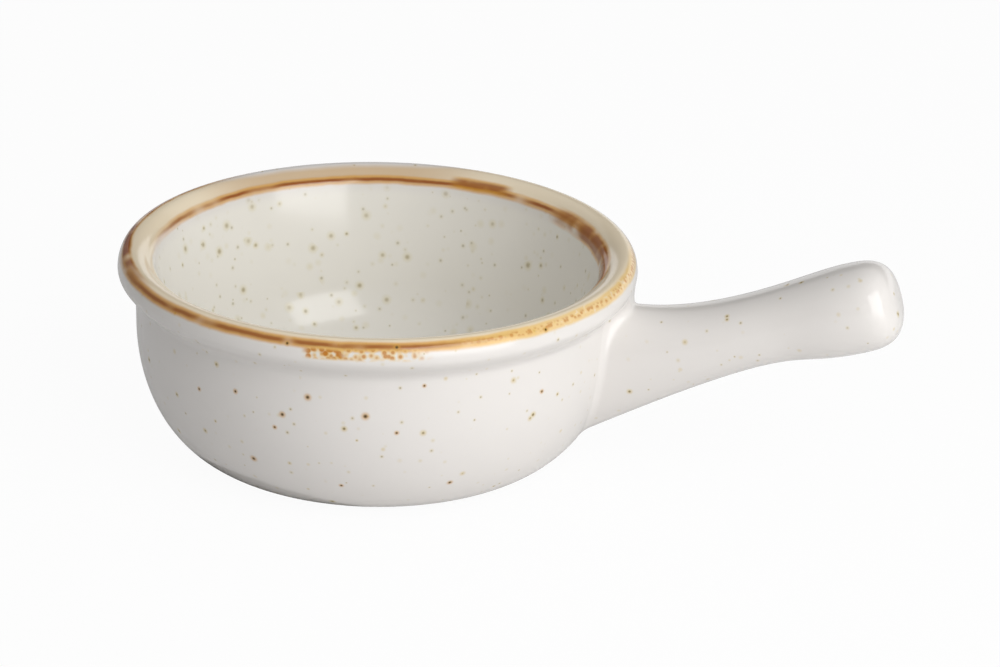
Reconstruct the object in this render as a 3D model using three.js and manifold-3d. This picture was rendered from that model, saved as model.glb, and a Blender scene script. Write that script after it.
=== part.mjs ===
// A small round baking dish in glazed stoneware with one stub handle.
// Sizes are in millimetres and +Z is up. The bowl's axis is vertical and the handle points along +X.
import * as THREE from "three";
import { mergeVertices } from "three/addons/utils/BufferGeometryUtils.js";
import Module from "manifold-3d";

// Bowl: a round wall that curves in to a foot ring
const rimDiameter = 120;
const bowlHeight = 48;
const wallThickness = 4.2;
const bellyHeight = 30; // the outside is upright above this height
const insideDraft = 13.8; // degrees that the inside leans out as it rises
const insideBendHeight = 20.7; // the inside bends in to the floor below this height
const insideFullness = 0.57; // how far the bend is pushed out into its corner
const floorThickness = 4;
const floorDiameter = 60; // the flat middle of the inside
const footDiameter = 74;
const footRingWidth = 4.5;
const footRecess = 1.8; // depth of the hollow inside the foot ring
const footRecessDraft = 1; // how far the hollow's side leans in

// Lip: rolled outwards, with a top that falls towards the inside
const lipOverhang = 4; // from the wall out to the widest point
const lipRollHeight = 4.3; // from the widest point up to the crest
const lipRollWidth = 3; // from the widest point in to the crest
const lipTuckHeight = 3.7; // from the widest point down to the wall
const lipFall = 2.4; // from the crest down to the inner edge
const lipEdgeRounding = 1.5;
const lipCrestRounding = 2;

// Handle: its side outline is a top line and an underside line that end at the knob
const handleBelowLip = 0.4; // from the lip's foot down to the start of the top line
const rootBase = 7.9; // height on the wall where the underside line starts
const rootWidth = 21;
const neckWidth = 18.7;
const knobWidth = 21.8;
const knobDepth = 19.7;
const knobReach = 54; // from the wall to the middle of the knob
const knobBelowRim = 3.4; // from the rim down to the middle of the knob
const knobRise = 19; // degrees that the knob points upwards
const noseLength = 10.8; // rounded end past the middle of the knob
const noseSquareness = 3.1; // 2 is a plain ellipse
const sectionSquareness = 2.3;
const neckPlace = 0.55; // share of the way from the wall to the knob

// Pulls that bend the handle's two lines where they leave the wall and reach the knob
const topRootPull = 20;
const topRootSlope = -7.8; // degrees
const topKnobPull = 10.7;
const undersideRootPull = 60;
const undersideRootSlope = 30.2; // degrees
const undersideKnobPull = 19.3;

// Flare that spreads the handle's sides on to the wall, most at the top
const flareSpread = 12;
const flareLength = 13; // from the wall out to where it ends
const flareGrowth = 1.7; // how strongly it grows from the underside to the top
const flareSquareness = 5;

// Slip that lutes the handle to the wall: a bed behind the root and a collar round it
const slipBed = 1;
const slipCover = 1.5; // the root is trimmed back by this much under the collar
const collarReach = 8; // from the wall out to the collar's edge
const seatGap = 0.3;

// Fineness of the faces
const turnSteps = 72;
const curveSteps = 5;
const handleSides = 32;
const handleSteps = 20;
const rootCrowding = 1.5; // more than 1 sets the sections closer together at the root
const noseSteps = 7;

const rimRadius = rimDiameter / 2;
const wallRadius = rimRadius - lipOverhang;
const innerRadius = wallRadius - wallThickness;
const footRadius = footDiameter / 2;
const floorRadius = floorDiameter / 2;
const floorTop = footRecess + floorThickness;
const lipCrestRadius = rimRadius - lipRollWidth;
const lipWidestHeight = bowlHeight - lipRollHeight;
const lipFootHeight = lipWidestHeight - lipTuckHeight;
const lipEdgeHeight = bowlHeight - lipFall;
const quarterTurn = Math.PI / 2;

const wasm = await Module();
wasm.setup();

// A closed three.js geometry as a solid that can be cut and joined.
function solidFrom(geometry) {
  const bare = geometry.clone();
  bare.deleteAttribute("normal");
  bare.deleteAttribute("uv");
  const merged = mergeVertices(bare, 1e-4);
  return new wasm.Manifold(
    new wasm.Mesh({
      numProp: 3,
      vertProperties: new Float32Array(merged.attributes.position.array),
      triVerts: new Uint32Array(merged.index.array),
    }),
  );
}

function geometryFrom(solid) {
  const { vertProperties, triVerts } = solid.getMesh();
  const geometry = new THREE.BufferGeometry();
  geometry.setAttribute("position", new THREE.BufferAttribute(vertProperties, 3));
  geometry.setIndex(new THREE.BufferAttribute(triVerts, 1));
  geometry.computeVertexNormals();
  return geometry;
}

// Turns a half outline, drawn as radius and height, about the bowl's axis.
function turned(outline) {
  const geometry = new THREE.LatheGeometry(outline.getPoints(curveSteps), turnSteps);
  return geometry.rotateX(quarterTurn);
}

// Radius of the leaning inside at a height below the lip's inner edge.
function insideRadius(height) {
  const lean = Math.tan(THREE.MathUtils.degToRad(insideDraft));
  return innerRadius - (lipEdgeHeight - height) * lean;
}

function bowlOutline() {
  const edgeSlope = lipFall / (lipCrestRadius - innerRadius);
  const edgeFoot = lipEdgeHeight - lipEdgeRounding;
  const bendPull = THREE.MathUtils.lerp(insideBendHeight, floorTop, insideFullness);
  const floorPull = THREE.MathUtils.lerp(floorRadius, insideRadius(floorTop), insideFullness);
  const outline = new THREE.Path();
  outline.moveTo(0, footRecess);
  outline.lineTo(footRadius - footRingWidth - footRecessDraft, footRecess);
  outline.lineTo(footRadius - footRingWidth, 0);
  outline.lineTo(footRadius, 0);
  outline.absellipse(
    footRadius, bellyHeight, wallRadius - footRadius, bellyHeight, -quarterTurn, 0, false,
  );
  outline.lineTo(wallRadius, lipFootHeight);
  outline.bezierCurveTo(
    wallRadius, lipFootHeight + lipTuckHeight / 2,
    rimRadius, lipWidestHeight - lipTuckHeight / 2,
    rimRadius, lipWidestHeight,
  );
  outline.absellipse(
    lipCrestRadius, lipWidestHeight, lipRollWidth, lipRollHeight, 0, quarterTurn, false,
  );
  outline.quadraticCurveTo(
    lipCrestRadius - lipCrestRounding, bowlHeight,
    innerRadius + lipEdgeRounding, lipEdgeHeight + lipEdgeRounding * edgeSlope,
  );
  outline.quadraticCurveTo(innerRadius, lipEdgeHeight, insideRadius(edgeFoot), edgeFoot);
  outline.lineTo(insideRadius(insideBendHeight), insideBendHeight);
  outline.bezierCurveTo(
    insideRadius(bendPull), bendPull,
    floorPull, floorTop,
    floorRadius, floorTop,
  );
  outline.lineTo(0, floorTop);
  return outline;
}

// The bowl's outside as one block, grown outwards, to trim what seats against the wall.
function wallBlock(growth) {
  const outline = new THREE.Path();
  outline.moveTo(0, -growth);
  outline.lineTo(footRadius, -growth);
  outline.absellipse(
    footRadius, bellyHeight,
    wallRadius - footRadius + growth, bellyHeight + growth,
    -quarterTurn, 0, false,
  );
  outline.lineTo(wallRadius + growth, bowlHeight);
  outline.lineTo(0, bowlHeight);
  return solidFrom(turned(outline));
}

// Radius of the bowl's outside at a height below the lip.
function outsideRadius(height) {
  const belowBelly = THREE.MathUtils.clamp(1 - height / bellyHeight, 0, 1);
  return footRadius + (wallRadius - footRadius) * Math.sqrt(1 - belowBelly ** 2);
}

function direction(degrees) {
  const angle = THREE.MathUtils.degToRad(degrees);
  return new THREE.Vector2(Math.cos(angle), Math.sin(angle));
}

// Sections along the handle, in its upright middle plane: x is along the handle and y is height.
// Each has its middle, the step from there to its top line and its half width.
function handleSections(inset) {
  const axis = direction(knobRise);
  const upwards = direction(knobRise + 90);
  const knob = new THREE.Vector2(wallRadius + knobReach, bowlHeight - knobBelowRim);
  const knobTop = knob.clone().addScaledVector(upwards, knobDepth / 2);
  const knobUnderside = knob.clone().addScaledVector(upwards, -knobDepth / 2);
  const rootTop = new THREE.Vector2(wallRadius, lipFootHeight - handleBelowLip);
  const rootUnderside = new THREE.Vector2(outsideRadius(rootBase), rootBase);
  const topLine = new THREE.CubicBezierCurve(
    rootTop,
    rootTop.clone().addScaledVector(direction(topRootSlope), topRootPull),
    knobTop.clone().addScaledVector(axis, -topKnobPull),
    knobTop,
  );
  const undersideLine = new THREE.CubicBezierCurve(
    rootUnderside,
    rootUnderside.clone().addScaledVector(direction(undersideRootSlope), undersideRootPull),
    knobUnderside.clone().addScaledVector(axis, -undersideKnobPull),
    knobUnderside,
  );

  function section(top, underside, width) {
    const middle = top.clone().add(underside).divideScalar(2);
    const rise = top.clone().sub(middle);
    const depth = rise.length();
    rise.setLength(depth - inset);
    return { middle, rise, halfWidth: width / 2 - inset };
  }

  // The root runs on level into the wall, to be trimmed to it.
  const rootBury = new THREE.Vector2(rootWidth / 2, 0);
  const sections = [
    section(rootTop.clone().sub(rootBury), rootUnderside.clone().sub(rootBury), rootWidth),
  ];
  for (let step = 0; step <= handleSteps; step++) {
    const along = (step / handleSteps) ** rootCrowding;
    const fromRoot = Math.max(0, 1 - along / neckPlace) ** 2;
    const toKnob = THREE.MathUtils.smoothstep(along, neckPlace, 1);
    const width =
      neckWidth + (rootWidth - neckWidth) * fromRoot + (knobWidth - neckWidth) * toKnob;
    sections.push(section(topLine.getPoint(along), undersideLine.getPoint(along), width));
  }
  const last = sections[sections.length - 1];
  for (let step = 1; step <= noseSteps; step++) {
    const turn = (step / noseSteps) * quarterTurn;
    const share = step < noseSteps ? Math.cos(turn) ** (2 / noseSquareness) : 0;
    const forward = (noseLength - inset) * Math.sin(turn) ** (2 / noseSquareness);
    sections.push({
      middle: knob.clone().addScaledVector(axis, forward),
      rise: last.rise.clone().multiplyScalar(share),
      halfWidth: last.halfWidth * share,
    });
  }
  return sections;
}

// A closed loft through the handle's sections, drawn in by an inset all round.
function handleLoft(inset) {
  const sections = handleSections(inset);
  const spans = sections.length - 1;
  const geometry = new THREE.CylinderGeometry(1, 1, 1, handleSides, spans);
  const place = geometry.attributes.position;
  const rounded = (value, squareness) =>
    Math.sign(value) * Math.abs(value) ** (2 / squareness);
  for (let i = 0; i < place.count; i++) {
    const { middle, rise, halfWidth } = sections[Math.round((place.getY(i) + 0.5) * spans)];
    const up = place.getX(i);
    const across = place.getZ(i);
    const lift = rounded(up, sectionSquareness);
    const along = middle.x + rise.x * lift;
    const height = middle.y + rise.y * lift;
    const fromWall = Math.max(0, along - outsideRadius(height));
    const flare = flareSpread * Math.max(0, 1 - fromWall / flareLength) ** 3;
    const spread = flare * ((1 + up) / 2) ** flareGrowth;
    place.setXYZ(
      i,
      along,
      halfWidth * rounded(across, sectionSquareness) + spread * rounded(across, flareSquareness),
      height,
    );
  }
  return solidFrom(geometry);
}

const handleForm = handleLoft(0);
const handleCore = handleLoft(slipCover);
const bedFace = seatGap + slipBed;

const handle = handleForm
  .subtract(wallBlock(collarReach))
  .add(handleCore.subtract(wallBlock(bedFace + seatGap)));

const slipJoint = handleForm
  .intersect(wallBlock(collarReach - seatGap))
  .subtract(wallBlock(seatGap))
  .subtract(handleLoft(slipCover - seatGap).subtract(wallBlock(bedFace)));

// Finishes: one glaze covers the whole dish, and the slip under it fires a little warmer
const glaze = { roughness: 0.12, metalness: 0 };
const pieces = [
  ["bowl", turned(bowlOutline()), 0xe8e4dc],
  ["handle", geometryFrom(handle), 0xebe7e2],
  ["slip_joint", geometryFrom(slipJoint), 0xe6e0d6],
];

const dish = new THREE.Group();
for (const [name, geometry, color] of pieces) {
  const piece = new THREE.Mesh(geometry, new THREE.MeshStandardMaterial({ color, ...glaze }));
  piece.name = name;
  dish.add(piece);
}

// The origin is on the table, in the middle of the dish's length.
const bounds = new THREE.Box3().setFromObject(dish, true);
dish.position.x = -(bounds.min.x + bounds.max.x) / 2;

export default dish;
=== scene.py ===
import bisect
import math

import bmesh
import bpy
from mathutils import Matrix, Vector


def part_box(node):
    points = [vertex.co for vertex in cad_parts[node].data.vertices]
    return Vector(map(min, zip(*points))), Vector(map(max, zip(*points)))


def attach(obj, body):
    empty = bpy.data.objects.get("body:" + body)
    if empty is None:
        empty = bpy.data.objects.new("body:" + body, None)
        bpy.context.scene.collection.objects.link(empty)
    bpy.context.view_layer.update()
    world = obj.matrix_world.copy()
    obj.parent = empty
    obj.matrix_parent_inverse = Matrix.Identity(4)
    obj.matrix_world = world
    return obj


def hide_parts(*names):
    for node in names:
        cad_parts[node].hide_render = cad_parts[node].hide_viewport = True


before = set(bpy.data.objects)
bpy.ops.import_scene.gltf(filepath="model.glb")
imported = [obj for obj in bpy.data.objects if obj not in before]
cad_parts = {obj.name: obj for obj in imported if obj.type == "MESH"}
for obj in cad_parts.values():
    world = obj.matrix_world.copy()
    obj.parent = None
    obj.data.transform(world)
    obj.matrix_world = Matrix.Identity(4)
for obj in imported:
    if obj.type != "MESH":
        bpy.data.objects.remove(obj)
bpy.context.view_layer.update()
mm = 0.001  # shapes are worked out in mm from the bowl's axis, and the scene is in metres
halvings = 40  # times that a search halves its range
nudge = 0.01  # small change of a turn or a share, to read a slope from
bowlLow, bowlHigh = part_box("bowl")
axisX = (bowlLow.x + bowlHigh.x) / 2 / mm
rimRadius = (bowlHigh.y - bowlLow.y) / 2 / mm
bowlHeight = bowlHigh.z / mm
print("frame loaded: rim", round(rimRadius * 2, 1), "mm, height", round(bowlHeight, 1), "mm")


def linear(hexColour):
    parts = [int(hexColour[at:at + 2], 16) / 255 for at in (1, 3, 5)]
    return [p / 12.92 if p <= 0.04045 else ((p + 0.055) / 1.055) ** 2.4 for p in parts] + [1]


# adds a node, sets its properties, and links or sets its inputs by name or number
def addNode(tree, kind, inputs=None, **settings):
    node = tree.nodes.new(kind)
    for name, value in settings.items():
        setattr(node, name, value)
    for name, value in (inputs or {}).items():
        if isinstance(value, bpy.types.NodeSocket):
            tree.links.new(value, node.inputs[name])
        else:
            node.inputs[name].default_value = value
    return node


def bezier(controls, share):
    points = [Vector(c) for c in controls]
    while len(points) > 1:
        points = [a.lerp(b, share) for a, b in zip(points, points[1:])]
    return points[0]


def smoothStep(low, high, value):
    share = min(1, max(0, (value - low) / (high - low)))
    return share * share * (3 - 2 * share)


# Bowl: one outline, radius and height in mm, turned about the upright axis
bowl = {
    "wall": 4.2, "bellyHeight": 30, "insideDraft": 13.8, "insideBend": 20.7, "insideFullness": 0.57,
    "floorThickness": 4, "floorRadius": 30,
    "footRadius": 37, "footRingWidth": 4.5, "footRecess": 1.8, "footRecessDraft": 1,
    "lipOverhang": 4, "lipRollHeight": 4.3, "lipRollWidth": 3, "lipTuckHeight": 3.7,
    "lipFall": 2.4, "lipEdgeRounding": 1.5, "lipCrestRounding": 2, "glazePool": 2.5, "tuckPull": 2.4,
    "turnSteps": 256, "pathRadius": 1,
    # pieces that each stretch of the outline is drawn in
    "steps": {"recess": 8, "ringSide": 3, "ring": 4, "belly": 44, "wall": 10, "tuck": 18, "roll": 16,
              "lipTop": 10, "lipEdge": 8, "inside": 14, "bend": 32, "floor": 12},
}
wallRadius = rimRadius - bowl["lipOverhang"]
innerRadius = wallRadius - bowl["wall"]
lipWidest = bowlHeight - bowl["lipRollHeight"]
lipFoot = lipWidest - bowl["lipTuckHeight"]
lipEdge = bowlHeight - bowl["lipFall"]
crestRadius = rimRadius - bowl["lipRollWidth"]
floorTop = bowl["footRecess"] + bowl["floorThickness"]


# outline from the middle of the base, up the outside, over the lip and down the inside,
# with the places of the foot's outer corner and of the lip's crest in it
def bowlOutline():
    points = [Vector((0, bowl["footRecess"]))]
    count = bowl["steps"]
    ringInner = bowl["footRadius"] - bowl["footRingWidth"]

    def lineTo(radius, height, steps):
        start = points[-1]
        points.extend(start.lerp(Vector((radius, height)), s / steps) for s in range(1, steps + 1))

    def curveTo(controls, steps):
        start = points[-1]
        points.extend(bezier([start] + controls, s / steps) for s in range(1, steps + 1))

    def quarterTo(centre, radii, fromTurn, toTurn, steps):
        for s in range(1, steps + 1):
            turn = math.radians(fromTurn + (toTurn - fromTurn) * s / steps)
            reach = Vector((radii[0] * math.cos(turn), radii[1] * math.sin(turn)))
            points.append(Vector(centre) + reach)

    lineTo(ringInner - bowl["footRecessDraft"], bowl["footRecess"], count["recess"])
    lineTo(ringInner, 0, count["ringSide"])
    lineTo(bowl["footRadius"], 0, count["ring"])
    footCorner = len(points) - 1
    belly = bowl["bellyHeight"]
    bellyDepth = wallRadius - bowl["footRadius"]
    quarterTo((bowl["footRadius"], belly), (bellyDepth, belly), -90, 0, count["belly"])
    lineTo(wallRadius, lipFoot - bowl["glazePool"], count["wall"])  # glaze pools above this, under the lip
    curveTo([(wallRadius, lipFoot), (rimRadius, lipWidest - bowl["tuckPull"]), (rimRadius, lipWidest)],
            count["tuck"])
    quarterTo((crestRadius, lipWidest), (bowl["lipRollWidth"], bowl["lipRollHeight"]), 0, 90, count["roll"])
    crest = len(points) - 1
    edgeRound = bowl["lipEdgeRounding"]
    edgeSlope = bowl["lipFall"] / (crestRadius - innerRadius)
    curveTo([(crestRadius - bowl["lipCrestRounding"], bowlHeight),
             (innerRadius + edgeRound, lipEdge + edgeRound * edgeSlope)], count["lipTop"])
    inside = math.tan(math.radians(bowl["insideDraft"]))
    curveTo([(innerRadius, lipEdge), (innerRadius - edgeRound * inside, lipEdge - edgeRound)],
            count["lipEdge"])
    bend = Vector((innerRadius - (lipEdge - bowl["insideBend"]) * inside, bowl["insideBend"]))
    lineTo(*bend, count["inside"])
    corner = Vector((innerRadius - (lipEdge - floorTop) * inside, floorTop))
    floorEdge = Vector((bowl["floorRadius"], floorTop))
    curveTo([bend.lerp(corner, bowl["insideFullness"]), floorEdge.lerp(corner, bowl["insideFullness"]),
             floorEdge], count["bend"])
    lineTo(0, floorTop, count["floor"])
    return points, footCorner, crest


outline, footIndex, crestIndex = bowlOutline()
lengths = [0]
for before, after in zip(outline, outline[1:]):
    lengths.append(lengths[-1] + (after - before).length)
crestLength = lengths[crestIndex]


# turning tree: the outline goes round a small circle, and each point keeps its way from the crest
def turningTree():
    tree = bpy.data.node_groups.new("turnedBowl", "GeometryNodeTree")
    keys = {}
    for name, kind in (("Outline", "NodeSocketObject"), ("Turn steps", "NodeSocketInt"),
                       ("Path radius", "NodeSocketFloat"), ("Crest length", "NodeSocketFloat"),
                       ("Axis", "NodeSocketVector"), ("Glaze", "NodeSocketMaterial")):
        socket = tree.interface.new_socket(name=name, in_out="INPUT", socket_type=kind)
        keys[name] = socket.identifier
    tree.interface.new_socket(name="Bowl", in_out="OUTPUT", socket_type="NodeSocketGeometry")
    given = addNode(tree, "NodeGroupInput").outputs
    drawn = addNode(tree, "GeometryNodeObjectInfo", {"Object": given["Outline"]})
    along = addNode(tree, "GeometryNodeSplineParameter")
    fromCrest = addNode(tree, "ShaderNodeMath", {0: given["Crest length"], 1: along.outputs["Length"]},
                        operation="SUBTRACT")
    marked = addNode(tree, "GeometryNodeStoreNamedAttribute",
                     {"Geometry": drawn.outputs["Geometry"], "Name": "fromCrest",
                      "Value": fromCrest.outputs[0]}, data_type="FLOAT", domain="POINT")
    circle = addNode(tree, "GeometryNodeCurvePrimitiveCircle",
                     {"Resolution": given["Turn steps"], "Radius": given["Path radius"]}, mode="RADIUS")
    upright = addNode(tree, "GeometryNodeSetCurveNormal", {"Curve": circle.outputs["Curve"]}, mode="Z_UP")
    turned = addNode(tree, "GeometryNodeCurveToMesh",
                     {"Curve": upright.outputs["Curve"], "Profile Curve": marked.outputs["Geometry"]})
    closed = addNode(tree, "GeometryNodeMergeByDistance",
                     {"Geometry": turned.outputs["Mesh"], "Distance": 1e-6})  # closes the two poles
    placed = addNode(tree, "GeometryNodeSetPosition",
                     {"Geometry": closed.outputs["Geometry"], "Offset": given["Axis"]})
    real = addNode(tree, "GeometryNodeRealizeInstances", {"Geometry": placed.outputs["Geometry"]})
    glazed = addNode(tree, "GeometryNodeSetMaterial",
                     {"Geometry": real.outputs["Geometry"], "Material": given["Glaze"]})
    addNode(tree, "NodeGroupOutput", {"Bowl": glazed.outputs["Geometry"]})
    return tree, keys


def turnedBowl(glaze):
    curve = bpy.data.curves.new("bowlOutline", "CURVE")
    curve.dimensions = "3D"
    spline = curve.splines.new("POLY")
    spline.points.add(len(outline) - 1)
    for point, place in zip(spline.points, outline):
        point.co = ((place.x - bowl["pathRadius"]) * mm, -place.y * mm, 0, 1)  # turns to +Z
    drawn = bpy.data.objects.new("bowlOutline", curve)
    maker = bpy.data.objects.new("bowlMaker", bpy.data.meshes.new("bowlMaker"))
    bpy.context.scene.collection.objects.link(maker)
    tree, keys = turningTree()
    modifier = maker.modifiers.new("turnedBowl", "NODES")
    modifier.node_group = tree
    modifier[keys["Outline"]] = drawn
    modifier[keys["Turn steps"]] = bowl["turnSteps"]
    modifier[keys["Path radius"]] = bowl["pathRadius"] * mm
    modifier[keys["Crest length"]] = crestLength * mm
    modifier[keys["Axis"]] = (axisX * mm, 0, 0)
    modifier[keys["Glaze"]] = glaze
    ready = maker.evaluated_get(bpy.context.evaluated_depsgraph_get())
    mesh = bpy.data.meshes.new_from_object(ready)
    bpy.data.objects.remove(maker)
    bpy.data.objects.remove(drawn)
    return mesh


# Handle: a top line and an underside line, with rounded sections between them that end in a knob
handle = {
    "belowLip": 0.4, "rootBase": 7.9, "rootWidth": 21, "neckWidth": 18.7, "neckPlace": 0.55,
    "knobWidth": 21.8, "knobDepth": 19.7, "knobReach": 54, "knobBelowRim": 3.4, "knobRise": 19,
    "noseLength": 10.8, "noseSquareness": 3.1, "sectionSquareness": 2.3,
    "topRootPull": 20, "topRootSlope": -7.8, "topKnobPull": 10.7,
    "underRootPull": 60, "underRootSlope": 30.2, "underKnobPull": 19.3,
    "lengthSteps": 84, "noseSteps": 26, "noseFine": 400, "turnTries": 720, "rootSearch": (-0.15, 0.4),
}
# Fillet: the slip wiped into the corner between handle and wall, widest at the top
fillet = {
    "topReach": 8, "underReach": 1.8, "growth": 9, "fullness": 0.6, "leastRise": 0.01, "blend": 4,
    "overLipFoot": 3.9, "crownReach": 1.2, "crownTurn": 42, "crownFull": 68, "crownFullness": 0.92,
    "windowTurn": 25.4, "windowLow": 4, "windowHigh": 45.6, "wallRings": 40, "filletRings": 18,
}


def outsideRadius(height):
    below = min(1, max(0, 1 - height / bowl["bellyHeight"]))
    return bowl["footRadius"] + (wallRadius - bowl["footRadius"]) * math.sqrt(1 - below * below)


# height and radius on the outside, by the way down from the crest
outsideWay = [crestLength - length for length in lengths[crestIndex::-1]]
outsidePoints = outline[crestIndex::-1]


def outsideAt(way):
    at = min(len(outsideWay) - 1, max(1, bisect.bisect_left(outsideWay, way)))
    share = (way - outsideWay[at - 1]) / (outsideWay[at] - outsideWay[at - 1])
    return outsidePoints[at - 1].lerp(outsidePoints[at], share)


def wayDownTo(height):
    low, high = 0, outsideWay[crestIndex - footIndex]
    for halving in range(halvings):
        middle = (low + high) / 2
        if outsideAt(middle).y > height:
            low = middle
        else:
            high = middle
    return low


def onWall(way, turn):
    place = outsideAt(way)
    return Vector((place.x * math.cos(turn), place.x * math.sin(turn), place.y))


# the part of a direction that runs along the wall's skin
def alongWall(direction, way, turn):
    step = 0.05  # mm
    down = onWall(way + step, turn) - onWall(way - step, turn)
    sideways = onWall(way, turn + step / wallRadius) - onWall(way, turn - step / wallRadius)
    outwards = down.cross(sideways).normalized()
    return direction - outwards * direction.dot(outwards)


def slope(degrees):
    return Vector((math.cos(math.radians(degrees)), math.sin(math.radians(degrees))))


knobAxis = slope(handle["knobRise"])
knob = Vector((wallRadius + handle["knobReach"], bowlHeight - handle["knobBelowRim"]))
knobUp = slope(handle["knobRise"] + 90) * handle["knobDepth"] / 2
rootTop = Vector((wallRadius, lipFoot - handle["belowLip"]))
rootUnder = Vector((outsideRadius(handle["rootBase"]), handle["rootBase"]))
topLine = [rootTop, rootTop + slope(handle["topRootSlope"]) * handle["topRootPull"],
           knob + knobUp - knobAxis * handle["topKnobPull"], knob + knobUp]
underLine = [rootUnder, rootUnder + slope(handle["underRootSlope"]) * handle["underRootPull"],
             knob - knobUp - knobAxis * handle["underKnobPull"], knob - knobUp]


def rounded(value, squareness):
    return math.copysign(abs(value) ** (2 / squareness), value)


# a point of the handle's skin: share of the way from the wall to the knob, and turn round the section
def onHandle(share, turn):
    top, under = bezier(topLine, share), bezier(underLine, share)
    lift = rounded(math.sin(turn), handle["sectionSquareness"])
    place = (top + under) / 2 + (top - under) / 2 * lift
    fromRoot = max(0, 1 - share / handle["neckPlace"]) ** 2
    width = (handle["neckWidth"] + (handle["rootWidth"] - handle["neckWidth"]) * fromRoot
             + (handle["knobWidth"] - handle["neckWidth"]) * smoothStep(handle["neckPlace"], 1, share))
    return Vector((place.x, width / 2 * rounded(math.cos(turn), handle["sectionSquareness"]), place.y))


# where a line of the handle's skin goes into the wall, or into the upright through a larger radius
def rootShare(turn, leastRadius=0):
    low, high = handle["rootSearch"]
    for halving in range(halvings):
        middle = (low + high) / 2
        place = onHandle(middle, turn)
        if math.hypot(place.x, place.y) < max(leastRadius, outsideRadius(place.z)):
            low = middle
        else:
            high = middle
    return low


# the fillet's edge on the wall at one turn round the section: its way down, its turn and the fillet's reach
def filletEdge(turn):
    def flat(angle):
        place = onHandle(rootShare(angle), angle)
        return Vector((math.atan2(place.y, place.x) * wallRadius, -wayDownTo(place.z)))
    here = flat(turn)
    along = flat(turn + nudge) - flat(turn - nudge)
    outwards = Vector((along.y, -along.x)).normalized()
    growth = ((1 + math.sin(turn)) / 2) ** fillet["growth"]
    reach = fillet["underReach"] + (fillet["topReach"] - fillet["underReach"]) * growth
    if outwards.y > fillet["leastRise"]:
        room = (-wayDownTo(lipFoot + fillet["overLipFoot"]) - here.y) / outwards.y
        power = -fillet["blend"]
        reach = (reach ** power + room ** power) ** (1 / power)  # it ends at the lip's widest line
    edge = here + outwards * reach
    return -edge.y, edge.x / wallRadius, reach


# swell and way forward of each ring of the knob's rounded end, evenly spaced along it
def noseSteps():
    fine = handle["noseFine"]
    curve = []
    for step in range(fine + 1):
        turn = math.pi / 2 * step / fine
        curve.append(Vector((rounded(math.cos(turn), handle["noseSquareness"]),
                             rounded(math.sin(turn), handle["noseSquareness"]))))
    walked = [0]
    for a, b in zip(curve, curve[1:]):
        walked.append(walked[-1] + (b - a).length)
    steps = []
    for ring in range(1, handle["noseSteps"]):
        at = bisect.bisect_left(walked, walked[-1] * ring / handle["noseSteps"])
        steps.append((curve[at].x, curve[at].y * handle["noseLength"]))
    return steps


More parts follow.
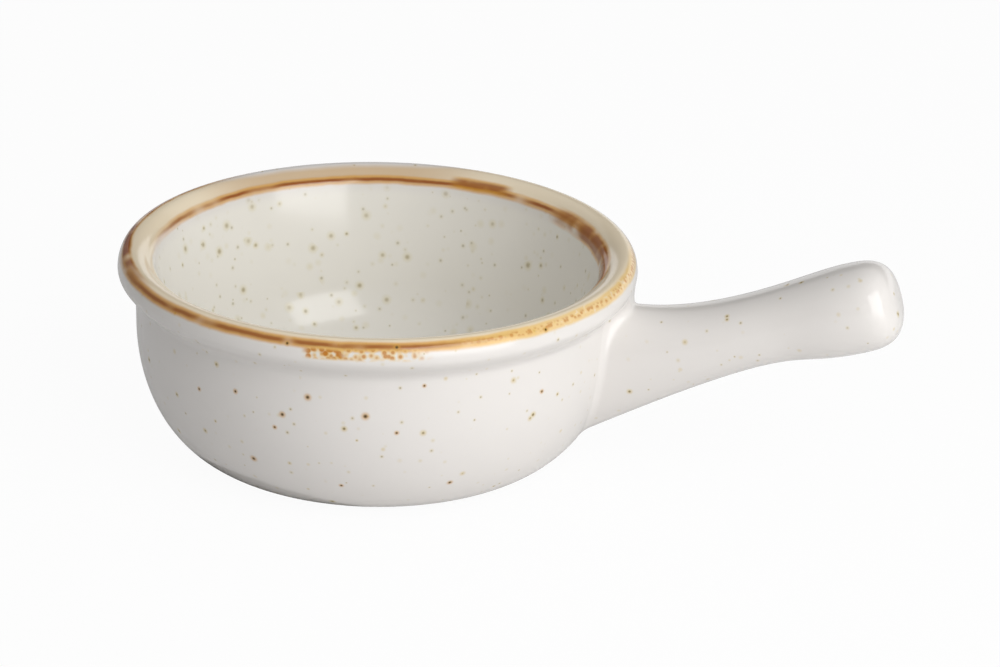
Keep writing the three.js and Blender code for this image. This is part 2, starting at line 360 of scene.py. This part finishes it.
# cuts a window in the wall and joins the handle to its edge, ring by ring
def growHandle(mesh):
    bm = bmesh.new()
    bm.from_mesh(mesh)
    bmesh.ops.translate(bm, verts=bm.verts, vec=(-axisX * mm, 0, 0))
    bmesh.ops.scale(bm, verts=bm.verts, vec=(1 / mm, 1 / mm, 1 / mm))
    way = bm.verts.layers.float["fromCrest"]
    highest, lowest = wayDownTo(fillet["windowHigh"]), wayDownTo(fillet["windowLow"])

    def inWindow(vert):
        turn = math.degrees(math.atan2(vert.co.y, vert.co.x))
        return highest < vert[way] / mm < lowest and abs(turn) < fillet["windowTurn"]

    opened = [face for face in bm.faces if all(inWindow(vert) for vert in face.verts)]
    bmesh.ops.delete(bm, geom=opened, context="FACES")
    edge = next(e for e in bm.edges if e.is_boundary)
    frameLoop = [edge.verts[0], edge.verts[1]]
    while True:
        step = next(e for e in frameLoop[-1].link_edges
                    if e.is_boundary and e.other_vert(frameLoop[-1]) != frameLoop[-2])
        after = step.other_vert(frameLoop[-1])
        if after == frameLoop[0]:
            break
        frameLoop.append(after)

    # each point of the window's edge takes the section turn that lies on its own ray
    middleWay = wayDownTo((rootTop.y + rootUnder.y) / 2)

    def ray(wayDown, turn):
        return math.atan2(middleWay - wayDown, turn * wallRadius)

    count = handle["turnTries"]
    tries = [math.tau * step / count - math.pi for step in range(count + 1)]
    rays = []
    for turn in tries:
        rays.append(ray(*filletEdge(turn)[:2]))
        while len(rays) > 1 and rays[-1] < rays[-2]:
            rays[-1] += math.tau
    columns = []
    for vert in frameLoop:
        goal = ray(vert[way] / mm, math.atan2(vert.co.y, vert.co.x))
        while goal < rays[0]:
            goal += math.tau
        at = max(1, bisect.bisect_left(rays, goal))
        share = (goal - rays[at - 1]) / (rays[at] - rays[at - 1])
        columns.append(tries[at - 1] + share * (tries[at] - tries[at - 1]))

    # four stretches of rings: wall, fillet, handle and the knob's rounded end
    rings = [[[] for vert in frameLoop] for part in range(4)]
    wallWays = []
    knobMiddle = Vector((knob.x, 0, knob.y))
    knobAhead = Vector((knobAxis.x, 0, knobAxis.y))
    nose = noseSteps()
    for at, (vert, turn) in enumerate(zip(frameLoop, columns)):
        side = math.atan2(vert.co.y, vert.co.x)
        edgeWay, edgeSide, reach = filletEdge(turn)
        frameWay = vert[way] / mm
        wallWays.append((frameWay, edgeWay))
        for ring in range(1, fillet["wallRings"] + 1):
            share = ring / fillet["wallRings"]
            rings[0][at].append(onWall(frameWay + (edgeWay - frameWay) * share,
                                       side + (edgeSide - side) * share))
        root = rootShare(turn, outsideAt(edgeWay).x)
        corner = onHandle(root, turn)
        speed = (onHandle(root + nudge, turn) - corner).length / nudge
        lift = math.degrees(math.asin(math.sin(turn)))
        crown = smoothStep(fillet["crownTurn"], fillet["crownFull"], lift)
        leave = root + (reach + (fillet["crownReach"] - reach) * crown) / speed
        fullness = fillet["fullness"] + (fillet["crownFullness"] - fillet["fullness"]) * crown
        start, end = rings[0][at][-1], onHandle(leave, turn)
        onward = alongWall(corner - start, edgeWay, edgeSide) * fullness
        controls = [start, start + onward, end.lerp(corner, fullness), end]
        for ring in range(1, fillet["filletRings"] + 1):
            rings[1][at].append(bezier(controls, ring / fillet["filletRings"]))
        for ring in range(1, handle["lengthSteps"] + 1):
            rings[2][at].append(onHandle(leave + (1 - leave) * ring / handle["lengthSteps"], turn))
        rim = rings[2][at][-1]
        for swell, forward in nose:
            rings[3][at].append(knobMiddle + (rim - knobMiddle) * swell + knobAhead * forward)

    # each new ring is joined to the one before it, and carries on its way from the crest
    loop = frameLoop
    for number, part in enumerate(rings):
        for step, ring in enumerate(zip(*part), 1):
            fresh = [bm.verts.new(place) for place in ring]
            for at, vert in enumerate(fresh):
                if number == 0:
                    start, end = wallWays[at]
                    vert[way] = (start + (end - start) * step / fillet["wallRings"]) * mm
                else:
                    vert[way] = loop[at][way] + (vert.co - loop[at].co).length * mm
            for at in range(len(fresh)):
                bm.faces.new((loop[at - 1], loop[at], fresh[at], fresh[at - 1]))
            loop = fresh
    tip = bm.verts.new(knobMiddle + knobAhead * handle["noseLength"])
    tip[way] = loop[0][way]
    for at in range(len(loop)):
        bm.faces.new((loop[at - 1], loop[at], tip))
    print("handle joined on", len(frameLoop), "points")
    for face in bm.faces:
        face.smooth = True
    bmesh.ops.recalc_face_normals(bm, faces=bm.faces)
    bmesh.ops.scale(bm, verts=bm.verts, vec=(mm, mm, mm))
    bmesh.ops.translate(bm, verts=bm.verts, vec=(axisX * mm, 0, 0))
    bm.to_mesh(mesh)
    bm.free()


# Glaze: glossy off-white over iron-rich clay, with brown specks, thin and brown where it breaks on the lip
glazeLook = {
    # outside and inside are one glaze: the outside is set darker than the inside as painted shade, to tone
    # down how brightly the soft box lights it
    "outside": "#e1ddd9", "inside": "#eae7df", "insideFrom": -6, "insideFull": -10,
    "gloss": 0.14, "index": 1.5, "peel": 6, "peelDetail": 1, "peelDepth": 0.02,
    "cream": "#ecddc2", "tan": "#cfb695", "tanFacing": 117, "tanFrom": 0.72, "tanFull": 0.97,
    "lipInner": -5.8, "lipInnerSoft": 0.6, "lipOuter": 0.5, "lipOuterBehind": -2.8, "lipOuterSoft": 2.4,
    "ripple": 7, "rippleDetail": 3, "wobble": 0.4,
    # specks by class: cell and radii in mm, and the share of cells kept; the shift, in m, parts the classes
    "speckShift": (0.1, 0.07, 0.03), "speckLeast": 0.5, "speckMost": 1.1, "speckFull": 0.15,
    "specks": [
        {"side": "outside", "cell": 4.2, "core": 0.5, "halo": 1.1, "kept": 0.4, "strength": 0.85,
         "stain": 0.6, "coreColour": "#65531f", "haloColour": "#cdb463"},
        {"side": "outside", "cell": 3.0, "core": 0.35, "halo": 0.75, "kept": 0.8, "strength": 0.6,
         "stain": 0.4, "coreColour": "#7c6a3a", "haloColour": "#cdbb80"},
        {"side": "inside", "cell": 4.0, "core": 0.9, "halo": 1.8, "kept": 0.7, "strength": 0.55,
         "stain": 0.35, "coreColour": "#8a7640", "haloColour": "#d0c283"},
        {"side": "inside", "cell": 2.8, "core": 0.5, "halo": 1.0, "kept": 0.7, "strength": 0.45,
         "stain": 0.3, "coreColour": "#8f8363", "haloColour": "#d3caa2"},
    ],
    # the largest spots of the photographed dish, as turn, height and radius of the core
    "spots": [(-91, 33, 0.6), (-78, 29.5, 0.65), (-97, 28, 0.55), (-106, 14.5, 0.6), (-57, 10.5, 0.5),
              (-109, 31, 0.45), (-99, 24.5, 0.4), (-71, 25.5, 0.4), (-84, 10.5, 0.4), (-35, 30, 0.4),
              (-65, 36.5, 0.35), (-120, 28.5, 0.4), (-71.5, 47, 0.55), (-94.5, 46.5, 0.45),
              (-37.5, 46.5, 0.45)],
    "spotCore": "#46300a", "spotHalo": "#c8963a", "spotSpread": 2.1, "spotFull": 0.2,
    "spotStrength": 0.95, "spotStain": 0.7,
    # lines by their way from the crest in mm, down the outside or, below 0, the inside; from and to are the
    # cosines, away from the turn that a line faces, at which it starts and is full; a patch gives brown
    # over amber with soft breaks, a grain gives rust dots over straw
    "brown": "#8f4800", "amber": "#d3982c", "rust": "#b86e12", "straw": "#e3bd6c",
    "lineShift": (0.2, 0.1), "lineSoft": 0.9, "lineFull": 0.1, "breakSoft": 0.2, "patchDetail": 0.5,
    "grainSmooth": 0.5, "grainEdge": 0.8, "grainMiddle": 0.1,
    "lines": [
        {"at": 2.2, "halfWidth": 0.9, "glow": 1.6, "facing": -100, "from": 0.35, "to": 0.75, "cover": 0.37,
         "glowCover": 0.26, "burn": 0.86, "tint": 0.85, "patch": 6},
        {"at": 1.1, "halfWidth": 1.4, "glow": 1.7, "facing": 180, "from": 0.7, "to": 0.93, "cover": 0.3,
         "glowCover": 0.2, "burn": 1, "tint": 0.75, "patch": 6},
        {"at": 1.4, "halfWidth": 0.6, "glow": 1.0, "facing": 150, "from": 0.85, "to": 0.96, "cover": 0.4,
         "glowCover": 0.28, "burn": 0.5, "tint": 0.75, "patch": 9},
        {"at": 2.2, "halfWidth": 1.0, "glow": 1.8, "facing": -20, "from": 0.65, "to": 0.93, "cover": 0.52,
         "glowCover": -0.05, "burn": 0.6, "tint": 0.75, "grain": 1.1},
        {"at": 4.0, "halfWidth": 1.5, "glow": 1.7, "facing": -77, "from": 0.972, "to": 0.994, "cover": 0.6,
         "glowCover": 0.25, "burn": 0.7, "tint": 0.6, "grain": 1.2},
        {"at": -5.7, "halfWidth": 0.8, "glow": 1.6, "facing": 85, "from": -0.4, "to": 0.3, "cover": 0.32,
         "glowCover": 0.2, "burn": 0.95, "tint": 0.75, "patch": 9},
        {"at": -6.2, "halfWidth": 2.3, "glow": 2.9, "facing": 20, "from": 0.84, "to": 0.93, "cover": 0.36,
         "glowCover": 0.3, "burn": 0.85, "tint": 0.75, "patch": 5},
        {"at": -4.8, "halfWidth": 1.4, "glow": 2.0, "facing": 76, "from": 0.985, "to": 0.996, "cover": 0.35,
         "glowCover": 0.25, "burn": 0.8, "tint": 0.75, "patch": 4},
        {"at": 4.1, "halfWidth": 1.4, "glow": 1.7, "facing": -86.5, "from": 0.9962, "to": 0.9989,
         "cover": 0.45, "glowCover": 0.25, "burn": 0.9, "tint": 0.65, "grain": 1.2},
        {"at": 2.3, "halfWidth": 0.9, "glow": 1.6, "facing": 100, "from": 0.42, "to": 0.65, "cover": 0.42,
         "glowCover": 0.28, "burn": 0.82, "tint": 0.8, "patch": 7},
    ],
}


def speckledGlaze():
    look = glazeLook
    material = bpy.data.materials.new("speckledGlaze")
    material.use_nodes = True
    tree = material.node_tree
    surface = tree.nodes["Principled BSDF"]
    surface.inputs["Roughness"].default_value = look["gloss"]
    surface.inputs["IOR"].default_value = look["index"]

    def add(kind, inputs, output=0, **settings):
        return addNode(tree, kind, inputs, **settings).outputs[output]

    def over(colour, layer, share):
        return add("ShaderNodeMix", {0: share, 6: colour, 7: layer}, 2, data_type="RGBA")

    place = addNode(tree, "ShaderNodeTexCoord").outputs["Object"]
    way = addNode(tree, "ShaderNodeAttribute", attribute_name="fromCrest").outputs["Fac"]
    way = add("ShaderNodeMath", {0: way, 1: 1 / mm}, operation="MULTIPLY")
    inside = add("ShaderNodeMapRange", {"Value": way, "From Min": look["insideFrom"],
                                        "From Max": look["insideFull"]}, interpolation_type="SMOOTHSTEP")
    sides = {"inside": inside, "outside": add("ShaderNodeMath", {0: 1, 1: inside}, operation="SUBTRACT")}
    # the darker outside copy of the glaze is painted shade
    colour = over(linear(look["outside"]), linear(look["inside"]), inside)

    # specks: iron spots in the clay, each with a dark core and a yellow-olive stain round it
    shiftX, shiftY, shiftZ = look["speckShift"]
    for number, speck in enumerate(look["specks"]):
        shifted = add("ShaderNodeVectorMath", {0: place, 1: (shiftX * number, shiftY * number, shiftZ)},
                      operation="ADD")
        cells = addNode(tree, "ShaderNodeTexVoronoi", {"Vector": shifted, "Scale": 1 / (speck["cell"] * mm)})
        draw = addNode(tree, "ShaderNodeSeparateColor", {0: cells.outputs["Color"]}).outputs
        kept = add("ShaderNodeMath", {0: draw[0], 1: speck["kept"]}, operation="LESS_THAN")
        kept = add("ShaderNodeMath", {0: kept, 1: sides[speck["side"]]}, operation="MULTIPLY")
        swell = add("ShaderNodeMapRange", {"Value": draw[1], "To Min": look["speckLeast"],
                                           "To Max": look["speckMost"]})
        reach = add("ShaderNodeMath", {0: cells.outputs["Distance"], 1: swell}, operation="DIVIDE")
        for part, share in (("halo", "stain"), ("core", "strength")):
            radius = speck[part] / speck["cell"]
            spot = add("ShaderNodeMapRange", {"Value": reach, "From Min": radius,
                                              "From Max": radius * look["speckFull"],
                                              "To Max": speck[share]}, interpolation_type="SMOOTHSTEP")
            spot = add("ShaderNodeMath", {0: spot, 1: kept}, operation="MULTIPLY")
            colour = over(colour, linear(speck[part + "Colour"]), spot)

    # lip: thin cream glaze over its top, more tan at the back, where it shows the clay
    across = add("ShaderNodeVectorMath", {0: place, 1: (-axisX * mm, 0, 0)}, operation="ADD")
    across = add("ShaderNodeVectorMath", {0: across, 1: (1, 1, 0)}, operation="MULTIPLY")
    across = add("ShaderNodeVectorMath", {0: across}, operation="NORMALIZE")
    ripple = add("ShaderNodeTexNoise", {"Vector": place, "Scale": 1 / (look["ripple"] * mm),
                                        "Detail": look["rippleDetail"]})
    wander = add("ShaderNodeMath", {0: ripple, 1: 0.5}, operation="SUBTRACT")  # the noise's middle is 0.5
    wander = add("ShaderNodeMath", {0: wander, 1: look["wobble"] * 2, 2: way}, operation="MULTIPLY_ADD")
    low = add("ShaderNodeMapRange", {"Value": wander, "From Min": look["lipInner"] - look["lipInnerSoft"],
                                     "From Max": look["lipInner"] + look["lipInnerSoft"]},
              interpolation_type="SMOOTHSTEP")
    turn = math.radians(look["tanFacing"])
    behind = add("ShaderNodeVectorMath", {0: across, 1: (math.cos(turn), math.sin(turn), 0)}, "Value",
                 operation="DOT_PRODUCT")
    behind = add("ShaderNodeMapRange", {"Value": behind, "From Min": look["tanFrom"],
                                        "From Max": look["tanFull"]}, interpolation_type="SMOOTHSTEP")
    outer = add("ShaderNodeMapRange", {"Value": behind, "To Min": look["lipOuter"],
                                       "To Max": look["lipOuterBehind"]})
    past = add("ShaderNodeMath", {0: wander, 1: outer}, operation="SUBTRACT")
    high = add("ShaderNodeMapRange", {"Value": past, "From Min": look["lipOuterSoft"], "From Max": 0},
               interpolation_type="SMOOTHSTEP")
    onLip = add("ShaderNodeMath", {0: low, 1: high}, operation="MULTIPLY")
    colour = over(colour, over(linear(look["cream"]), linear(look["tan"]), behind), onLip)

    # lines: the glaze runs off the lip's edges, and the bare iron burns brown with amber round it
    shiftX, shiftY = look["lineShift"]
    for number, line in enumerate(look["lines"]):
        turn = math.radians(line["facing"])
        facing = add("ShaderNodeVectorMath", {0: across, 1: (math.cos(turn), math.sin(turn), 0)}, "Value",
                     operation="DOT_PRODUCT")
        facing = add("ShaderNodeMapRange", {"Value": facing, "From Min": line["from"],
                                            "From Max": line["to"]}, interpolation_type="SMOOTHSTEP")
        off = add("ShaderNodeMath", {0: wander, 1: line["at"]}, operation="SUBTRACT")
        off = add("ShaderNodeMath", {0: off}, operation="ABSOLUTE")
        shifted = add("ShaderNodeVectorMath", {0: place, 1: (shiftX, shiftY * number, 0)}, operation="ADD")
        if "grain" in line:
            grains = add("ShaderNodeTexVoronoi", {"Vector": shifted, "Scale": 1 / (line["grain"] * mm),
                                                  "Smoothness": look["grainSmooth"]}, feature="SMOOTH_F1")
            patches = add("ShaderNodeMapRange", {"Value": grains, "From Min": look["grainEdge"],
                                                 "From Max": look["grainMiddle"]})
            layers = ("straw", "rust")
        else:
            patches = add("ShaderNodeTexNoise", {"Vector": shifted, "Scale": 1 / (line["patch"] * mm),
                                                 "Detail": look["patchDetail"]})
            layers = ("amber", "brown")
        for layer, width, cover, most in ((layers[0], line["glow"], line["glowCover"], line["tint"]),
                                          (layers[1], line["halfWidth"], line["cover"], line["burn"])):
            broken = add("ShaderNodeMapRange", {"Value": patches, "From Min": cover - look["breakSoft"],
                                                "From Max": cover + look["breakSoft"]},
                         interpolation_type="SMOOTHSTEP")
            full = max(width * look["lineFull"], width - look["lineSoft"])
            band = add("ShaderNodeMapRange", {"Value": off, "From Min": width, "From Max": full,
                                              "To Max": most}, interpolation_type="SMOOTHSTEP")
            band = add("ShaderNodeMath", {0: band, 1: broken}, operation="MULTIPLY")
            band = add("ShaderNodeMath", {0: band, 1: facing}, operation="MULTIPLY")
            colour = over(colour, linear(look[layer]), band)

    # largest spots, on top of the lines
    for turn, height, radius in look["spots"]:
        spot = (onWall(wayDownTo(height), math.radians(turn)) + Vector((axisX, 0, 0))) * mm
        away = add("ShaderNodeVectorMath", {0: place, 1: spot}, "Value", operation="DISTANCE")
        for layer, reach, most in (("spotHalo", radius * look["spotSpread"], look["spotStain"]),
                                   ("spotCore", radius, look["spotStrength"])):
            stain = add("ShaderNodeMapRange", {"Value": away, "From Min": reach * mm,
                                               "From Max": reach * look["spotFull"] * mm,
                                               "To Max": most}, interpolation_type="SMOOTHSTEP")
            colour = over(colour, linear(look[layer]), stain)
    tree.links.new(colour, surface.inputs["Base Color"])

    # orange peel: the slight waves of a poured glaze, that soften the edges of its highlights
    peel = add("ShaderNodeTexNoise", {"Vector": place, "Scale": 1 / (look["peel"] * mm),
                                      "Detail": look["peelDetail"]})
    wavy = addNode(tree, "ShaderNodeBump", {"Height": peel, "Distance": look["peelDepth"] * mm})
    tree.links.new(wavy.outputs["Normal"], surface.inputs["Normal"])
    return material


# Foot: the ring is wiped clean before firing, so bare matt stoneware touches the table
foot = {"colour": "#c9b491", "roughness": 0.85, "wipedTo": 0.25}


def bareStoneware():
    material = bpy.data.materials.new("bareStoneware")
    material.use_nodes = True
    surface = material.node_tree.nodes["Principled BSDF"]
    surface.inputs["Base Color"].default_value = linear(foot["colour"])
    surface.inputs["Roughness"].default_value = foot["roughness"]
    return material


dishMesh = turnedBowl(speckledGlaze())
growHandle(dishMesh)
dishMesh.materials.append(bareStoneware())
for face in dishMesh.polygons:
    if all(dishMesh.vertices[at].co.z < foot["wipedTo"] * mm for at in face.vertices):
        face.material_index = 1
dish = bpy.data.objects.new("glazed_dish", dishMesh)
bpy.context.scene.collection.objects.link(dish)
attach(dish, "root")
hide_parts("bowl", "handle", "slip_joint")
print("dish glazed:", len(dishMesh.polygons), "faces")

# Camera: the photograph's place, looking down on to the dish
camera = {"aim": (-2.48, 4.65, 27.1), "azimuth": 12.0, "elevation": 22.56, "roll": 1.65, "distance": 700,
          "lens": 108, "sensor": 36}


def placeCamera():
    data = bpy.data.cameras.new("camera")
    data.lens = camera["lens"]
    data.sensor_width = camera["sensor"]
    seat = bpy.data.objects.new("camera", data)
    bpy.context.scene.collection.objects.link(seat)
    seat.matrix_world = (
        Matrix.Translation(Vector(camera["aim"]) * mm)
        @ Matrix.Rotation(math.radians(camera["azimuth"]), 4, "Z")
        @ Matrix.Rotation(math.radians(90 - camera["elevation"]), 4, "X")
        @ Matrix.Rotation(math.radians(camera["roll"]), 4, "Z")
        @ Matrix.Translation((0, 0, camera["distance"] * mm)))
    bpy.context.scene.camera = seat


placeCamera()
bpy.context.scene.view_settings.view_transform = "Standard"


# corners of a crescent on the table, from its inner radius, width, turns round the bowl's axis and level
def crescent(inner, width, start, end, level, steps=16):
    corners = []
    for bulge, places in ((width, range(steps + 1)), (0, range(steps - 1, 0, -1))):
        for step in places:
            turn = math.radians(start + (end - start) * step / steps)
            reach = inner + bulge * math.sin(math.pi * step / steps)
            corners.append((axisX + reach * math.cos(turn), reach * math.sin(turn), level))
    return corners


# corners of an upright sheet behind the dish
def uprightSheet(left, right, low, high, depth):
    return [(left, depth, low), (right, depth, low), (right, depth, high), (left, depth, high)]


# Studio: a white floor, in metres across, and one tall soft box at the front right, in mm
studio = {
    "floorSize": 4, "floorGap": 0.05, "floorColour": "#ebebeb", "whiteShare": 0.95, "glossShare": 0.1,
    "horizon": 0.14, "zenith": 0.62,
    "boxAim": (axisX, 0, 25), "boxAzimuth": 52.3, "boxElevation": 25.5, "boxDistance": 760,
    "boxWidth": 570, "boxHeight": 755, "boxRadiance": 3.4,
    # seen in the glaze only: paper up the back, darkness above it, and a dark crescent of painted shadow on
    # the table at the left, where the table lies in the dish's shade
    "cards": [
        {"name": "backPaper", "glow": 1, "corners": uprightSheet(-420, 700, 0, 205, 600)},
        {"name": "darkAbove", "glow": 0.02, "corners": uprightSheet(-420, 700, 205, 430, 600)},
        # painted shadow: a black crescent that stands in for the table's shade under the left of the belly,
        # so the glaze reflects it dark
        {"name": "tableCard", "glow": 0, "corners": crescent(37.5, 11, -175, -65, 0.3)},
    ],
}


# share of pure white for the rays that look at the background, less in reflections, which keep the shadow
def whiteToEye(tree, share):
    path = addNode(tree, "ShaderNodeLightPath").outputs
    mirrored = addNode(tree, "ShaderNodeMath", {0: path["Is Glossy Ray"], 1: path["Is Transmission Ray"]},
                       operation="MAXIMUM").outputs[0]
    mirrored = addNode(tree, "ShaderNodeMath", {0: mirrored, 1: studio["glossShare"]},
                       operation="MULTIPLY").outputs[0]
    return addNode(tree, "ShaderNodeMath", {0: path["Is Camera Ray"], 1: share, 2: mirrored},
                   operation="MULTIPLY_ADD").outputs[0]


def whiteFloor():
    material = bpy.data.materials.new("whitePaper")
    material.use_nodes = True
    tree = material.node_tree
    tree.nodes.clear()
    paper = addNode(tree, "ShaderNodeBsdfDiffuse", {"Color": linear(studio["floorColour"])})
    white = addNode(tree, "ShaderNodeEmission", {"Strength": 1})
    mixed = addNode(tree, "ShaderNodeMixShader", {0: whiteToEye(tree, studio["whiteShare"]),
                                                  1: paper.outputs[0], 2: white.outputs[0]})
    # clear from below, so that the foot can be looked at
    below = addNode(tree, "ShaderNodeNewGeometry").outputs["Backfacing"]
    clear = addNode(tree, "ShaderNodeBsdfTransparent")
    sheet = addNode(tree, "ShaderNodeMixShader", {0: below, 1: mixed.outputs[0], 2: clear.outputs[0]})
    addNode(tree, "ShaderNodeOutputMaterial", {"Surface": sheet.outputs[0]})
    half = studio["floorSize"] / 2
    level = -studio["floorGap"] * mm
    corners = [(-half, -half, level), (half, -half, level), (half, half, level), (-half, half, level)]
    mesh = bpy.data.meshes.new("floor")
    mesh.from_pydata(corners, [], [(0, 1, 2, 3)])
    mesh.materials.append(material)
    floor = bpy.data.objects.new("floor", mesh)
    bpy.context.scene.collection.objects.link(floor)


def softBox():
    lamp = bpy.data.lights.new("softBox", "AREA")
    lamp.shape = "RECTANGLE"
    lamp.size = studio["boxWidth"] * mm
    lamp.size_y = studio["boxHeight"] * mm
    lamp.energy = studio["boxRadiance"] * math.pi * lamp.size * lamp.size_y
    box = bpy.data.objects.new("softBox", lamp)
    bpy.context.scene.collection.objects.link(box)
    box.matrix_world = (
        Matrix.Translation(Vector(studio["boxAim"]) * mm)
        @ Matrix.Rotation(math.radians(studio["boxAzimuth"]), 4, "Z")
        @ Matrix.Rotation(math.radians(90 - studio["boxElevation"]), 4, "X")
        @ Matrix.Translation((0, 0, studio["boxDistance"] * mm)))


# cards round the dish that only its mirror-like glaze sees
def studioCards():
    for card in studio["cards"]:
        material = bpy.data.materials.new(card["name"])
        material.use_nodes = True
        tree = material.node_tree
        tree.nodes.clear()
        glow = addNode(tree, "ShaderNodeEmission", {"Strength": card["glow"]})
        addNode(tree, "ShaderNodeOutputMaterial", {"Surface": glow.outputs[0]})
        mesh = bpy.data.meshes.new(card["name"])
        corners = [Vector(corner) * mm for corner in card["corners"]]
        mesh.from_pydata(corners, [], [range(len(corners))])
        mesh.materials.append(material)
        sheet = bpy.data.objects.new(card["name"], mesh)
        bpy.context.scene.collection.objects.link(sheet)
        sheet.visible_camera = False
        sheet.visible_diffuse = False
        sheet.visible_shadow = False


def ambientWorld():
    world = bpy.data.worlds.new("studio")
    bpy.context.scene.world = world
    world.use_nodes = True
    tree = world.node_tree
    soft = tree.nodes["Background"]
    soft.inputs["Color"].default_value = (1, 1, 1, 1)
    towards = addNode(tree, "ShaderNodeTexCoord").outputs["Generated"]
    height = addNode(tree, "ShaderNodeSeparateXYZ", {0: towards}).outputs["Z"]
    ambient = addNode(tree, "ShaderNodeMapRange", {"Value": height, "To Min": studio["horizon"],
                                                   "To Max": studio["zenith"]})
    tree.links.new(ambient.outputs[0], soft.inputs["Strength"])
    white = addNode(tree, "ShaderNodeBackground", {"Color": (1, 1, 1, 1), "Strength": 1})
    mixed = addNode(tree, "ShaderNodeMixShader", {0: whiteToEye(tree, 1), 1: soft.outputs[0],
                                                  2: white.outputs[0]})
    tree.links.new(mixed.outputs[0], tree.nodes["World Output"].inputs["Surface"])


whiteFloor()
softBox()
studioCards()
ambientWorld()
print("studio set")
